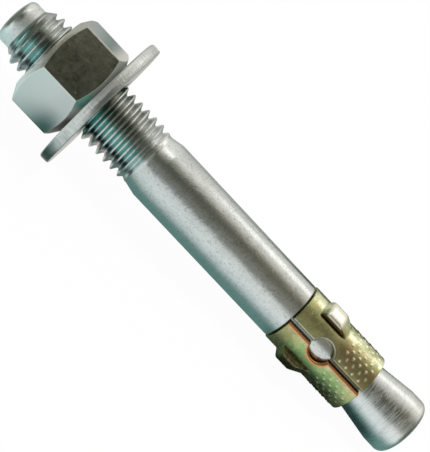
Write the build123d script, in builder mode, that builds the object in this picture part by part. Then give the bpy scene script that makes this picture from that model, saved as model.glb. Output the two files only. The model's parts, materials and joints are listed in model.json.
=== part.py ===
from build123d import *
import os
from math import asin, atan2, cos, degrees, hypot, radians, sin, tan

# Wedge anchor, M12 x 100: stud, expansion clip, hexagon nut and flat washer. It lies as it comes to rest,
# on the rim of the washer, which hangs round the stud, and on the end of the expansion cone. That leaves
# the stud's weight under the washer's middle, so the anchor doesn't roll. Sizes are in millimetres.
# Stations run along the stud from the crown of its impact end. Angles about the stud start at its upper
# side and turn by the right-hand rule about the direction from the impact end to the cone.

# Stud
dog_diameter = 8.8
dog_length = 3.3
dog_crown = 0.6
dog_edge_radius = 1.2
thread_diameter = 11.85
thread_entry_length = 1.1
thread_length = 29.5
blank_diameter = 11.05
blank_length = 0.6
blank_taper_length = 2.4
shank_diameter = 12.0
shank_length = 33.6
neck_diameter = 9.6
cone_half_angle = 8.1
band_diameter = 11.9
band_length = 3.8
band_edge_radius = 1.3

# Expansion clip
clip_sheet = 1.25
clip_length = 17.5
clip_bore_clearance = 0.15
clip_end_play = 0.25
clip_turn = 54.5
slit_gap = 0.7
keyhole_diameter = 4.5
keyhole_station = 7.5
lug_count = 3
lug_width = 3.6
lug_height = 1.3
lug_start = 3.0
lug_rise_length = 1.0
lug_top_length = 2.45
lug_fall_length = 2.4
lug_bend_radius = 0.8
lug_shoulder_radius = 0.6

# Hexagon nut and flat washer
nut_across_flats = 18.0
nut_height = 10.8
nut_face_diameter = 15.2
nut_chamfer_angle = 30
nut_countersink = 0.55
nut_station = 8.7
nut_turn = 56.5
thread_clearance = 0.05
washer_diameter = 27.0
washer_bore = 13.5
washer_thickness = 2.0
washer_edge_radius = 0.25
washer_lift = 0.7
washer_lean = 1.8

# Stations along the stud
thread_end = dog_length + thread_length
shank_start = thread_end + blank_length + blank_taper_length
shoulder = shank_start + shank_length
clip_start = shoulder + clip_end_play
cone_start = clip_start + clip_length - clip_end_play
band_start = cone_start + (band_diameter - neck_diameter) / 2 / tan(radians(cone_half_angle))
stud_length = band_start + band_length
washer_station = nut_station + nut_height + nut_face_diameter / 2 * tan(radians(washer_lean))

# Radii shared by the pieces
clip_inner_radius = neck_diameter / 2 + clip_bore_clearance
clip_outer_radius = clip_inner_radius + clip_sheet
clip_middle_radius = clip_inner_radius + clip_sheet / 2

# Rest: the floor touches the washer's rounded rim and the rounded end of the cone's band. The washer hangs
# slack, with its top against the nut.
lean = radians(washer_lean)
rim_drop = washer_diameter / 2 - washer_edge_radius - washer_lift
rim_offset = washer_thickness - washer_edge_radius
rim_station = washer_station + rim_offset * cos(lean) + rim_drop * sin(lean)
rim_depth = rim_drop * cos(lean) - rim_offset * sin(lean)
foot_station = stud_length - band_edge_radius
foot_radius = band_diameter / 2 - band_edge_radius
contact_run = foot_station - rim_station
contact_drop = rim_depth - foot_radius
radius_step = asin((washer_edge_radius - band_edge_radius) / hypot(contact_run, contact_drop))
tilt = atan2(contact_drop, contact_run) + radius_step

# The origin is on the floor under the middle of the anchor's outer box
crown_radius = ((dog_diameter / 2) ** 2 + dog_crown**2) / (2 * dog_crown)
low_end = crown_radius * (cos(tilt) - 1)
high_end = foot_station * cos(tilt) + foot_radius * sin(tilt) + band_edge_radius
stud_end = Vector(
    -(high_end - low_end) / 2,
    0,
    rim_station * sin(tilt) + rim_depth * cos(tilt) + washer_edge_radius,
)
along = Vector(cos(tilt), 0, -sin(tilt))
upward = Vector(sin(tilt), 0, cos(tilt))
sideways = along.cross(upward)
stud_axis = Axis(origin=stud_end, direction=along)


def cross_plane(station):
    """A plane across the stud, looking along it, with its x axis upward."""
    return Plane(origin=stud_end + along * station, x_dir=upward, z_dir=along)


def radial_direction(angle):
    """The direction out from the stud's axis at an angle about it."""
    return upward * cos(radians(angle)) + sideways * sin(radians(angle))


def profile_plane(angle=0):
    """A plane through the stud's axis: x is the station and y the radius."""
    return Plane(origin=stud_end, x_dir=along, z_dir=along.cross(radial_direction(angle)))


def radial_plane(station, angle):
    """A plane on the axis at a station, facing outward at an angle."""
    return Plane(origin=stud_end + along * station, x_dir=along, z_dir=radial_direction(angle))


# Anchor stud: impact end, thread envelope, blank, shank, neck, cone and band, turned in one profile
with BuildPart() as anchor_stud:
    with BuildSketch(profile_plane()):
        with BuildLine():
            TangentArc((0, 0), (dog_crown, dog_diameter / 2), tangent=(0, 1))
            Polyline(
                (dog_crown, dog_diameter / 2),
                (dog_length, dog_diameter / 2),
                (dog_length + thread_entry_length, thread_diameter / 2),
                (thread_end, thread_diameter / 2),
                (thread_end, blank_diameter / 2),
                (thread_end + blank_length, blank_diameter / 2),
                (shank_start, shank_diameter / 2),
                (shoulder, shank_diameter / 2),
                (shoulder, neck_diameter / 2),
                (cone_start, neck_diameter / 2),
                (band_start, band_diameter / 2),
                (stud_length, band_diameter / 2),
                (stud_length, 0),
                (0, 0),
            )
        make_face()
    revolve(axis=stud_axis)
    impact_edge = anchor_stud.edges().filter_by(lambda edge: edge.is_closed).sort_by(stud_axis)[0]
    fillet(impact_edge, dog_edge_radius)
    band_edge = anchor_stud.edges().filter_by(lambda edge: edge.is_closed).sort_by(stud_axis)[-1]
    fillet(band_edge, band_edge_radius)
anchor_stud.part.label = "anchor_stud"

# One lengthwise strip of the clip's sheet, bent outward into a lug whose long shoulders are rounded
lug_half_angle = degrees(asin(lug_width / 2 / clip_outer_radius))
lug_end = lug_start + lug_rise_length + lug_top_length + lug_fall_length
lug_top_radius = clip_outer_radius + lug_height
with BuildPart() as lug_strip:
    with BuildSketch(profile_plane(-lug_half_angle)):
        with BuildLine():
            FilletPolyline(
                (clip_start, clip_middle_radius),
                (clip_start + lug_start, clip_middle_radius),
                (clip_start + lug_start + lug_rise_length, clip_middle_radius + lug_height),
                (clip_start + lug_end - lug_fall_length, clip_middle_radius + lug_height),
                (clip_start + lug_end, clip_middle_radius),
                (clip_start + clip_length, clip_middle_radius),
                radius=lug_bend_radius,
            )
        trace(line_width=clip_sheet)
    revolve(axis=stud_axis, revolution_arc=2 * lug_half_angle)
    with BuildSketch(cross_plane(clip_start)) as lug_outline:
        Circle(lug_top_radius)
        with BuildLine():
            reach_across = 2 * lug_top_radius * tan(radians(lug_half_angle))
            Polyline(
                (0, 0),
                (2 * lug_top_radius, reach_across),
                (2 * lug_top_radius, -reach_across),
                close=True,
            )
        make_face(mode=Mode.INTERSECT)
        shoulders = lug_outline.vertices().sort_by_distance(stud_axis.position)[-2:]
        fillet(shoulders, lug_shoulder_radius)
    extrude(amount=clip_length, mode=Mode.INTERSECT)

# Expansion clip: lug strips and plain strips rolled into a sleeve, slit along its length through a keyhole
lug_pitch = 360 / lug_count
with BuildPart() as expansion_clip:
    for lug in range(lug_count):
        lug_angle = clip_turn + (lug + 0.5) * lug_pitch
        add(lug_strip.part.rotate(stud_axis, lug_angle))
    for lug in range(lug_count):
        lug_side = clip_turn + (lug + 0.5) * lug_pitch + lug_half_angle
        with BuildSketch(profile_plane(lug_side)):
            with Locations((clip_start + clip_length / 2, clip_middle_radius)):
                Rectangle(clip_length, clip_sheet)
        revolve(axis=stud_axis, revolution_arc=lug_pitch - 2 * lug_half_angle)
    with BuildSketch(cross_plane(clip_start)):
        with PolarLocations(clip_middle_radius, 1, start_angle=clip_turn):
            Rectangle(2 * clip_sheet, slit_gap)
    extrude(amount=clip_length, mode=Mode.SUBTRACT)
    with BuildSketch(radial_plane(clip_start + keyhole_station, clip_turn)):
        Circle(keyhole_diameter / 2)
    extrude(amount=lug_top_radius, mode=Mode.SUBTRACT)
expansion_clip.part.label = "expansion_clip"

# Hexagon nut: both faces chamfered, bored to run on the thread's envelope, countersunk at both ends
with BuildPart() as hex_nut:
    with BuildSketch(cross_plane(nut_station)):
        RegularPolygon(nut_across_flats / 2, 6, major_radius=False, rotation=nut_turn)
    extrude(amount=nut_height)
    corner_radius = nut_across_flats / 2 / cos(radians(30))
    chamfer_length = (corner_radius - nut_face_diameter / 2) * tan(radians(nut_chamfer_angle))
    with BuildSketch(profile_plane()):
        with BuildLine():
            Polyline(
                (nut_station, 0),
                (nut_station, nut_face_diameter / 2),
                (nut_station + chamfer_length, corner_radius),
                (nut_station + nut_height - chamfer_length, corner_radius),
                (nut_station + nut_height, nut_face_diameter / 2),
                (nut_station + nut_height, 0),
                close=True,
            )
        make_face()
    revolve(axis=stud_axis, mode=Mode.INTERSECT)
    with BuildSketch(cross_plane(nut_station)):
        Circle(thread_diameter / 2 + thread_clearance)
    extrude(amount=nut_height, mode=Mode.SUBTRACT)
    bore_edges = hex_nut.edges().filter_by(GeomType.CIRCLE).sort_by(SortBy.RADIUS)[:2]
    chamfer(bore_edges, nut_countersink)
hex_nut.part.label = "hex_nut"

# Flat washer: punched sheet with a rounded rim; the stud rests low in its bore
washer_plane = Plane(
    origin=stud_end + along * washer_station,
    x_dir=upward * cos(lean) - along * sin(lean),
    z_dir=along * cos(lean) + upward * sin(lean),
)
with BuildPart() as flat_washer:
    with BuildSketch(washer_plane):
        with Locations((washer_lift, 0)):
            Circle(washer_diameter / 2)
            Circle(washer_bore / 2, mode=Mode.SUBTRACT)
    extrude(amount=washer_thickness)
    rim_edges = flat_washer.edges().filter_by(GeomType.CIRCLE).sort_by(SortBy.RADIUS)[-2:]
    fillet(rim_edges, washer_edge_radius)
flat_washer.part.label = "flat_washer"

os.makedirs("parts", exist_ok=True)
export_step(anchor_stud.part, "parts/anchor_stud.step")
export_step(expansion_clip.part, "parts/expansion_clip.step")
export_step(hex_nut.part, "parts/hex_nut.step")
export_step(flat_washer.part, "parts/flat_washer.step")
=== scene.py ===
import json
from math import cos, pi, radians, sin, tan

import bmesh
import bpy
import numpy as np
from bpy.props import FloatProperty, FloatVectorProperty, IntProperty, PointerProperty
from mathutils import Matrix, Vector


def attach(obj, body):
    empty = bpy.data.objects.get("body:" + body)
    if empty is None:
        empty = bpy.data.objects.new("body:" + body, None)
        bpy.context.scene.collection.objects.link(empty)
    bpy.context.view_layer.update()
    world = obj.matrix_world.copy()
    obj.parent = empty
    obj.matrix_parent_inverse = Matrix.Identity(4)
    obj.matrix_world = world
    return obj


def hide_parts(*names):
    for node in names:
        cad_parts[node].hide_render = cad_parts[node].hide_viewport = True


bl_info = {
    "name": "Wedge anchor",
    "version": (1, 0, 0),
    "blender": (4, 5, 0),
    "location": "3D View > Sidebar > Anchor",
    "description": "Builds a wedge anchor from its stud, clip, nut and washer, and a studio for it",
    "category": "Object",
}

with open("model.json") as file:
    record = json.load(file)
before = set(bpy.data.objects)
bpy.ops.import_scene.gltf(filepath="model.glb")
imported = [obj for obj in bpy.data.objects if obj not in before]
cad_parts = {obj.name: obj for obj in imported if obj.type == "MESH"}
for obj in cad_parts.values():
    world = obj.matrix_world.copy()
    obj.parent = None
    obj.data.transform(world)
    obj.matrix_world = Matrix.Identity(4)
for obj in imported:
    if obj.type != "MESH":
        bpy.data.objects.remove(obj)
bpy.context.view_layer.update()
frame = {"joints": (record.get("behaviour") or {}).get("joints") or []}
JOINTS = {joint["name"]: joint for joint in frame["joints"]}

# The stud's own directions: along it from the impact end to the cone, and up from it at right angles
ALONG = Vector(JOINTS["nut_turn"]["axis"]).normalized()
UPWARD = Vector((-ALONG.z, 0, ALONG.x))
MM = 0.001


# Settings


def size(name, millimetres, description):
    """A length setting, written here in millimetres and kept in metres."""
    return FloatProperty(
        name=name,
        description=description,
        default=millimetres * MM,
        precision=5,
        subtype="DISTANCE",
        unit="LENGTH",
    )


def turn(name, degrees, description):
    """An angle setting, written here in degrees."""
    return FloatProperty(
        name=name, description=description, default=radians(degrees), subtype="ANGLE", unit="ROTATION"
    )


def colour(name, red, green, blue, description):
    """A colour setting, in linear light."""
    return FloatVectorProperty(
        name=name,
        description=description,
        default=(red, green, blue),
        size=3,
        min=0,
        max=1,
        subtype="COLOR",
    )


def share(name, default, description):
    """A setting that is a plain number."""
    return FloatProperty(name=name, description=description, default=default)


class StudSettings(bpy.types.PropertyGroup):
    """Sizes and colours of the stud"""

    dog_diameter: size("Dog diameter", 8.8, "Diameter of the plain impact end")
    dog_length: size("Dog length", 3.3, "Length of the impact end, from its crown")
    dog_crown: size("Dog crown", 0.6, "Height of the impact end's domed face")
    dog_edge: size("Dog edge", 1.2, "Radius round the impact end's face")
    thread_entry: size("Thread entry", 1.9, "Length over which the first turns grow to full height")
    thread_diameter: size("Thread diameter", 11.85, "Diameter over the thread's crests")
    thread_depth: size("Thread depth", 1.08, "Height of the thread's crests over its roots")
    pitch: size("Pitch", 1.75, "Distance from one thread crest to the next")
    first_crest: size("First crest", 1.25, "Station of a thread crest on the stud's upper side")
    thread_end: size("Thread end", 33.5, "Station at which the thread has run out")
    run_out: size("Run-out", 2.4, "Length over which the last turns fade")
    blank_diameter: size("Blank diameter", 11.05, "Diameter of the plain bar that the thread is rolled on")
    shank_start: size("Shank start", 35.8, "Station at which the shank has its full diameter")
    shank_diameter: size("Shank diameter", 12.0, "Diameter of the shank")
    shoulder: size("Shoulder", 69.4, "Station of the shoulder above the neck")
    neck_diameter: size("Neck diameter", 9.6, "Diameter of the neck inside the clip")
    cone_start: size("Cone start", 86.9, "Station at which the cone begins")
    band_start: size("Band start", 94.98, "Station at which the cone ends in its band")
    band_diameter: size("Band diameter", 11.9, "Diameter of the band below the cone")
    length: size("Length", 98.78, "Length of the stud")
    end_edge: size("End edge", 1.3, "Radius round the cone's end")
    facets: IntProperty(name="Facets", description="Divisions round the stud", default=160, min=24)
    zinc: colour("Zinc", 0.74, 0.765, 0.765, "Bright zinc plating on the stud")
    zinc_shade: colour("Zinc shade", 0.60, 0.63, 0.63, "Duller patches in the stud's plating")
    cone_zinc: colour("Cone zinc", 0.81, 0.83, 0.83, "Fresh zinc plating on the turned cone")
    # Painted shadow on the neck, in the clip's slit
    slit_shadow: colour("Neck shade", 0.16, 0.15, 0.11, "Dull plating on the neck, where the clip shades it")
    # The flank colours are painted shade and painted reflections in the thread's grooves, from the stud's top
    # to its under side
    flank_shading_top: colour("Flank, top", 0.50, 0.49, 0.46, "Dull plating on the thread's flanks on top")
    flank_shading_upper: colour("Flank, upper side", 0.29, 0.32, 0.29, "Plating on the thread's flanks, upper side")
    flank_shading_lower: colour("Flank, lower side", 0.27, 0.55, 0.53, "Blue-green plating on the flanks")
    flank_shading_middle: colour("Flank, middle", 0.27, 0.46, 0.44, "Plating under the blue-green part")
    flank_shading_low: colour("Flank, low", 0.13, 0.19, 0.19, "Dark plating on the flanks, lower still")
    flank_shading_under: colour("Flank, under side", 0.66, 0.60, 0.61, "Plating on the thread's flanks, under side")
    # Painted shade on the crests on the stud's lower side
    crest_shade: colour("Crest tint", 0.42, 0.44, 0.47, "Dulls the crests below the stud's middle")
    # Painted shadow of the washer, on the turns beside it
    washer_shadow: colour("Washer tint", 0.25, 0.60, 0.55, "Tints the turns beside the washer")
    # Softer painted shadow on the neck in the slit, before the clip's hole
    slit_soft_shadow: colour("Neck light", 0.30, 0.35, 0.34, "Plating on the neck, before the clip's hole")
    # Brightens the impact end, and paints highlights on top of the turns above the nut and by the shank
    brightening: share("Freshness", 1.3, "Brightens fresh plating on the impact end and by the shank")


class NutSettings(bpy.types.PropertyGroup):
    """Sizes and colours of the nut"""

    across_flats: size("Across flats", 18.0, "Width between opposite flats")
    height: size("Height", 10.8, "Height of the nut")
    face_diameter: size("Face diameter", 15.2, "Diameter of the nut's round end faces")
    chamfer: turn("Chamfer", 30, "Slope of the chamfer at both ends")
    station: size("Station", 8.7, "Station of the nut's outer face")
    turned: turn("Turned", 56.5, "Angle of one of the nut's corners about the stud")
    corner: size("Corner", 0.45, "Radius along the edges between two flats")
    edge: size("Edge", 0.16, "Radius along the edges of the chamfer")
    countersink: size("Countersink", 0.55, "Depth of the countersinks in the bore")
    clearance: size("Clearance", 0.06, "Radial gap between the two threads")
    zinc: colour("Zinc", 0.70, 0.725, 0.72, "Zinc plating on the nut")
    zinc_shade: colour("Zinc shade", 0.42, 0.43, 0.37, "Dull patches in the nut's plating")
    hollow_tint: colour("Hollow tint", 0.38, 0.41, 0.36, "Tints the hollows of the forged flat")
    forged_tint: colour("Forged tint", 0.62, 0.59, 0.53, "Tints the forged flat")
    raised_tint: colour("Raised tint", 0.78, 0.79, 0.74, "Tints the raised spots of the forged flat")
    end_zinc: colour("End zinc", 0.78, 0.75, 0.68, "Warmer, duller plating on the outer end")
    # Painted highlight low on the outer end
    end_highlight: colour("End, bright", 1.0, 0.97, 0.95, "Bright plating low on the outer end")
    # Painted shade, reflection and highlights round the nut's end by the washer, from its top to its under
    # side
    washer_side_top_shade: colour("Washer end, dull", 0.50, 0.52, 0.47, "Dull plating on top of the washer's end")
    washer_side_reflection: colour("Washer end, shade", 0.30, 0.60, 0.51, "Blue-green plating by the washer")
    washer_side_highlight: colour("Washer end, bright", 0.86, 0.88, 0.82, "Bright plating below the blue-green part")
    washer_side_warm_highlight: colour("Washer end, warm", 0.74, 0.72, 0.68, "Warmer plating below the bright part")
    washer_side_under_shade: colour("Washer end, dark", 0.34, 0.32, 0.31, "Dark plating on the washer end's under side")


class WasherSettings(bpy.types.PropertyGroup):
    """Sizes and colours of the washer"""

    diameter: size("Diameter", 27.0, "Diameter of the washer")
    bore: size("Bore", 13.5, "Diameter of its hole")
    thickness: size("Thickness", 2.0, "Thickness of the washer")
    lift: size("Lift", 0.7, "Distance that its middle sits above the stud's axis")
    lean: turn("Lean", 1.8, "Angle by which it leans with its top against the nut")
    roll_over: size("Roll-over", 0.5, "Radius of the edge that the punch entered")
    burr: size("Burr", 0.4, "Radius of the edge that the punch left")
    drag: size("Drag marks", 0.045, "Depth of the punch marks across the rim")
    torn_from: size("Torn zone", 1.1, "Distance from the outer face at which the rim is torn, not sheared")
    torn_step: size("Torn step", 0.1, "Depth of the step between the rim's two zones")
    zinc: colour("Zinc", 0.74, 0.76, 0.75, "Zinc plating on the washer")
    zinc_shade: colour("Zinc shade", 0.44, 0.46, 0.45, "Duller streaks in the washer's plating")
    # Painted highlight on the rolled edge's lower side
    rolled_highlight: colour("Rolled zinc", 0.86, 0.88, 0.87, "Bright plating on the rolled edge's lower side")
    # Painted shade along the rim's torn zone
    tear_shade: colour("Tear", 0.13, 0.15, 0.14, "Dark line where the punched rim tore")


class ClipSettings(bpy.types.PropertyGroup):
    """Sizes and colours of the expansion clip"""

    start: size("Start", 69.65, "Station of the clip's end by the shoulder")
    length: size("Length", 17.5, "Length of the clip")
    inner_radius: size("Inner radius", 4.95, "Radius inside the clip")
    sheet: size("Sheet", 1.25, "Thickness of the clip's sheet")
    turned: turn("Turned", 54.5, "Angle of the slit about the stud")
    slit_gap: size("Slit gap", 0.7, "Width of the slit")
    keyhole: size("Keyhole", 4.5, "Diameter of the round hole in the slit")
    keyhole_from_start: size("Keyhole place", 7.5, "Distance of the hole's middle from the clip's start")
    cut_edge: size("Cut edge", 0.42, "Radius that punching leaves along the slit and the hole")
    end_edge: size("End edge", 0.16, "Radius round the clip's ends")
    lug_count: IntProperty(name="Lugs", description="Number of raised lugs", default=3, min=1)
    lug_width: size("Lug width", 3.6, "Width of a lug")
    lug_height: size("Lug height", 1.3, "Height of a lug over the sleeve")
    lug_start: size("Lug start", 2.69, "Distance of the lugs from the clip's start")
    lug_rise: size("Lug rise", 1.0, "Length over which a lug rises")
    lug_top: size("Lug top", 2.92, "Length of a lug's flat top")
    lug_fall: size("Lug fall", 2.4, "Length over which a lug falls")
    lug_shoulder: size("Lug shoulder", 0.6, "Radius of a lug's long edges")
    dimple_pitch: size("Dimple pitch", 1.58, "Distance between two dimples of a row")
    dimple_diameter: size("Dimple diameter", 0.80, "Diameter of a dimple")
    dimple_height: size("Dimple height", 0.11, "Height of a dimple")
    dimple_start: size("Dimple start", 10.75, "Distance of the first dimples from the clip's start")
    dimple_rows: IntProperty(name="Dimple rows", description="Rows that would go round it", default=42, min=4)
    dimples_in_row: IntProperty(name="Dimples", description="Dimples in each row", default=4, min=1)
    gold: colour("Gold", 0.64, 0.58, 0.30, "Yellow passivated zinc")
    # Painted highlight on top of the clip
    pale: colour("Pale", 0.86, 0.90, 0.64, "Passivation that is thin and nearly white")
    brown: colour("Brown", 0.43, 0.33, 0.17, "Thick brown passivation")
    green: colour("Green", 0.32, 0.50, 0.20, "Green tinge in the passivation")
    # Painted shade on the clip's under side
    dark: colour("Dark", 0.13, 0.125, 0.08, "Dark olive passivation on the under side")
    # Painted highlight on the dimples' tops
    dimple_highlight: colour("Rose", 0.96, 0.84, 0.62, "Pale tinge on the dimples")
    moss: colour("Moss", 0.34, 0.38, 0.17, "Olive patches in the passivation")
    # Painted highlight on top of the lugs on the slit's upper side
    highlit: colour("Rubbed", 0.96, 0.94, 0.84, "Plating rubbed bright on the upper lugs")
    # Paler painted highlight beside the slit, on its lower side
    slit_highlight: colour("Slit gold", 0.78, 0.68, 0.50, "Warm plating beside the slit, on its lower side")
    # Painted shade on the upper edges of the slit and the hole
    slit_edge_shade: colour("Bare", 0.42, 0.43, 0.38, "Grey edge of the slit's upper side")
    # Darker painted shade on those edges, on the half with dimples
    far_slit_shade: colour("Bare, far half", 0.22, 0.20, 0.14, "Darker edge of the slit, on the half with dimples")
    # Painted shade beside the lugs, on the lower lugs' tops and inside the sheet
    groove_shade: colour("Groove", 0.10, 0.055, 0.025, "Dark line round the lugs")
    copper: colour("Copper", 0.72, 0.33, 0.14, "Colour along the cut edges")
    edge_shine: colour("Edge shine", 0.60, 0.58, 0.45, "Tint of the metal's mirroring at a grazing angle")


class StudioSettings(bpy.types.PropertyGroup):
    """Camera, floor and lights"""

    lens: share("Lens", 108.45, "Focal length in millimetres, on a 36 mm sensor")
    distance: size("Distance", 235.43, "Distance from the camera to the stud's axis")
    aim: size("Aim", 49.52, "Station that the camera looks at")
    aim_offset: size("Aim offset", -0.5075, "Distance of the aim from the stud's axis")
    around: turn("Around", 44.935, "Angle of the camera about the stud, from its upper side")
    towards_nut: turn("Towards nut", 6.512, "Angle by which the camera leans towards the nut's end")
    roll: turn("Roll", 46.087, "Angle by which the camera is turned about its own direction")
    floor: colour("Floor", 0.86, 0.87, 0.87, "Pale floor")
    # Darkness painted into the room and the floor, which the metal mirrors past the stud's ends
    flag: colour("Flag", 0.13, 0.15, 0.12, "Dark card that the metal mirrors past the stud's ends")
    glow: colour("Glow", 0.09, 0.075, 0.055, "Warm light that is added in the room towards the cone")


# Meshes


def stud_space(station=0.0):
    """The space whose x axis is the stud's axis and whose z axis points up from it, starting at a station."""
    nut = bpy.context.scene.anchor_nut
    nut_middle = nut.station + nut.height / 2
    start = Vector(JOINTS["nut_turn"]["pos_m"]) + ALONG * (station - nut_middle)
    space = Matrix((ALONG, Vector((0, 1, 0)), UPWARD)).transposed().to_4x4()
    return Matrix.Translation(start) @ space


def about(station, radius, angle):
    """Points at stations, radii and angles about the stud, counted from its upper side towards -Y."""
    return np.stack(np.broadcast_arrays(station, -radius * np.sin(angle), radius * np.cos(angle)), axis=-1)


def rounded(corners, radii, steps=4):
    """The line through corners, each of which is turned with its own radius."""
    line = [np.array(corners[0], float)]
    for before, corner, after, radius in zip(corners, corners[1:], corners[2:], radii):
        corner = np.array(corner, float)
        if radius <= 0:
            line.append(corner)
            continue
        back = np.array(before) - corner
        onward = np.array(after) - corner
        back, onward = back / np.hypot(*back), onward / np.hypot(*onward)
        half = np.arccos(np.clip(back @ onward, -1, 1)) / 2
        reach = radius / np.tan(half)
        middle = corner + (back + onward) / np.hypot(*(back + onward)) * radius / np.sin(half)
        first, last, sweep = corner + back * reach - middle, corner + onward * reach - middle, pi - 2 * half
        for part in np.linspace(0, 1, steps + 1):
            offset = (np.sin((1 - part) * sweep) * first + np.sin(part * sweep) * last) / np.sin(sweep)
            line.append(middle + offset)
    line.append(np.array(corners[-1], float))
    return np.array(line)


def spread(*stops):
    """Numbers from the first stop to the last, with each (stop, steps) pair reached in that many steps."""
    numbers = [stops[0]]
    for stop, steps in stops[1:]:
        numbers += list(np.linspace(numbers[-1], stop, steps + 1)[1:])
    return np.array(numbers)


def placed(points, space):
    """Points of a space, as points of the frame."""
    turned = np.array(space.to_3x3())
    return points @ turned.T + np.array(space.translation)


def skin(name, rings, space, sharp=35, closed=False, walls=(), layers=None):
    """A mesh piece through rows of points; closed joins each row's last point to its first.

    Walls are more faces, and layers are values at the points, by name.
    """
    rows, columns = rings.shape[:2]
    index = np.arange(rows * columns).reshape(rows, columns)
    if closed:
        index = np.concatenate([index, index[:, :1]], axis=1)
    quads = np.stack([index[:-1, :-1], index[1:, :-1], index[1:, 1:], index[:-1, 1:]], axis=-1)
    mesh = bpy.data.meshes.new(name)
    points = placed(rings, space).reshape(-1, 3)
    mesh.from_pydata(points.tolist(), [], [*quads.reshape(-1, 4).tolist(), *walls])
    for layer, values in (layers or {}).items():
        attribute = mesh.attributes.new(layer, "FLOAT", "POINT")
        attribute.data.foreach_set("value", np.asarray(values, np.float32).reshape(-1))
    model = bmesh.new()
    model.from_mesh(mesh)
    bmesh.ops.remove_doubles(model, verts=model.verts, dist=1.5e-6)
    bmesh.ops.dissolve_degenerate(model, edges=model.edges, dist=1e-7)
    bmesh.ops.recalc_face_normals(model, faces=model.faces)
    open_edges = sum(1 for edge in model.edges if len(edge.link_faces) != 2)
    model.to_mesh(mesh)
    model.free()
    if open_edges:
        raise RuntimeError(f"{name} has {open_edges} open edges")
    mesh.shade_smooth()
    mesh.set_sharp_from_angle(angle=radians(sharp))
    piece = bpy.data.objects.new(name, mesh)
    bpy.context.scene.collection.objects.link(piece)
    return piece


def end_walls(columns, count):
    """Faces that close the first and last of a sheet's sections, between its outside and its inside."""
    half = count // 2
    walls = []
    for section in np.arange(columns * count).reshape(columns, count)[[0, -1]]:
        outer, inner = section[:half], section[half:][::-1]
        walls += np.stack([outer[:-1], outer[1:], inner[1:], inner[:-1]], axis=-1).tolist()
    return walls


# The thread's section over one pitch: distance from the crest in pitches, and depth in thread depths
THREAD_SECTION = (
    (-0.5, 1.0),
    (-0.44, 0.985),
    (-0.385, 0.90),
    (-0.25, 0.50),
    (-0.14, 0.17),
    (-0.09, 0.06),
    (-0.045, 0.012),
    (0.0, 0.0),
    (0.045, 0.012),
    (0.09, 0.06),
    (0.14, 0.17),
    (0.25, 0.50),
    (0.385, 0.90),
    (0.44, 0.985),
)


def thread_radius(stud, station, angle):
    """The radius of the full thread at stations and angles."""
    turns = (station - stud.first_crest) / stud.pitch - angle / (2 * pi)
    places, depths = zip(*THREAD_SECTION, (0.5, 1.0))
    depth = np.interp((turns + 0.5) % 1.0 - 0.5, places, depths)
    return stud.thread_diameter / 2 - depth * stud.thread_depth


def thread_stations(stud, start, end, angles):
    """A row of stations for each angle; they follow the thread's turns and stop at both ends."""
    first = int((start - stud.first_crest) / stud.pitch) - 2
    count = int((end - start) / stud.pitch) + 5
    places = [first + number + place for number in range(count) for place, _ in THREAD_SECTION]
    turned = np.array(places)[None, :] + angles[:, None] / (2 * pi)
    return np.clip(stud.first_crest + turned * stud.pitch, start, end)


def finish_piece(piece, material, body, node):
    """Gives a piece its material, and puts it on its body in the place of its solid."""
    piece.data.materials.append(material)
    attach(piece, body)
    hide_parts(node)


# Materials


def put(tree, kind, inputs=None, **settings):
    """A node of a tree; an input given as another node's socket is joined to it."""
    node = tree.nodes.new("ShaderNode" + kind)
    for name, value in settings.items():
        setattr(node, name, value)
    for name, value in (inputs or {}).items():
        if isinstance(value, bpy.types.NodeSocket):
            tree.links.new(value, node.inputs[name])
        else:
            node.inputs[name].default_value = value
    return node


def maths(tree, operation, *values, clamp=False):
    """The result of a Math node."""
    return put(tree, "Math", dict(enumerate(values)), operation=operation, use_clamp=clamp).outputs[0]


def slope(tree, value, factor, start, clamp=False):
    """A value times a factor, plus a start."""
    return maths(tree, "MULTIPLY_ADD", value, factor, start, clamp=clamp)


def product(tree, *masks):
    """Masks multiplied together."""
    result = masks[0]
    for mask in masks[1:]:
        result = maths(tree, "MULTIPLY", result, mask)
    return result


def fade(tree, value, start, end, top=1.0, bottom=0.0):
    """A mask that goes from bottom to top while a value goes from start to end."""
    levels = {"From Min": start, "From Max": end, "To Min": bottom, "To Max": top}
    return put(tree, "MapRange", {"Value": value, **levels}).outputs[0]


def between(tree, value, low, high):
    """A mask that is 1 where a value lies between two limits, and otherwise 0."""
    return product(tree, maths(tree, "LESS_THAN", value, high), maths(tree, "GREATER_THAN", value, low))


def blend(tree, factor, first, second, mode="MIX"):
    """The colour from a Mix node."""
    node = put(tree, "Mix", data_type="RGBA", blend_type=mode)
    for name, value in (("Factor_Float", factor), ("A_Color", first), ("B_Color", second)):
        socket = next(item for item in node.inputs if item.identifier == name)
        if isinstance(value, bpy.types.NodeSocket):
            tree.links.new(value, socket)
        else:
            socket.default_value = value if name == "Factor_Float" else (*value[:3], 1)
    return next(item for item in node.outputs if item.identifier == "Result_Color")


def ramp(tree, factor, stops, interpolation="EASE"):
    """The colour from a Color Ramp, with a grey for each stop that is a number."""
    node = put(tree, "ValToRGB", {"Fac": factor})
    node.color_ramp.interpolation = interpolation
    elements = node.color_ramp.elements
    while len(elements) < len(stops):
        elements.new(1.0)
    for element, (place, level) in zip(elements, stops):
        element.position = place
        element.color = (level, level, level, 1) if isinstance(level, (int, float)) else (*level, 1)
    return node.outputs["Color"]


def noise(tree, place, scale, detail, roughness, distortion=0.0):
    """The value of a Noise Texture, whose scale is the number of its lumps in a metre."""
    inputs = {"Vector": place, "Scale": scale, "Detail": detail, "Roughness": roughness}
    return put(tree, "TexNoise", {**inputs, "Distortion": distortion}).outputs["Fac"]


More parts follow.
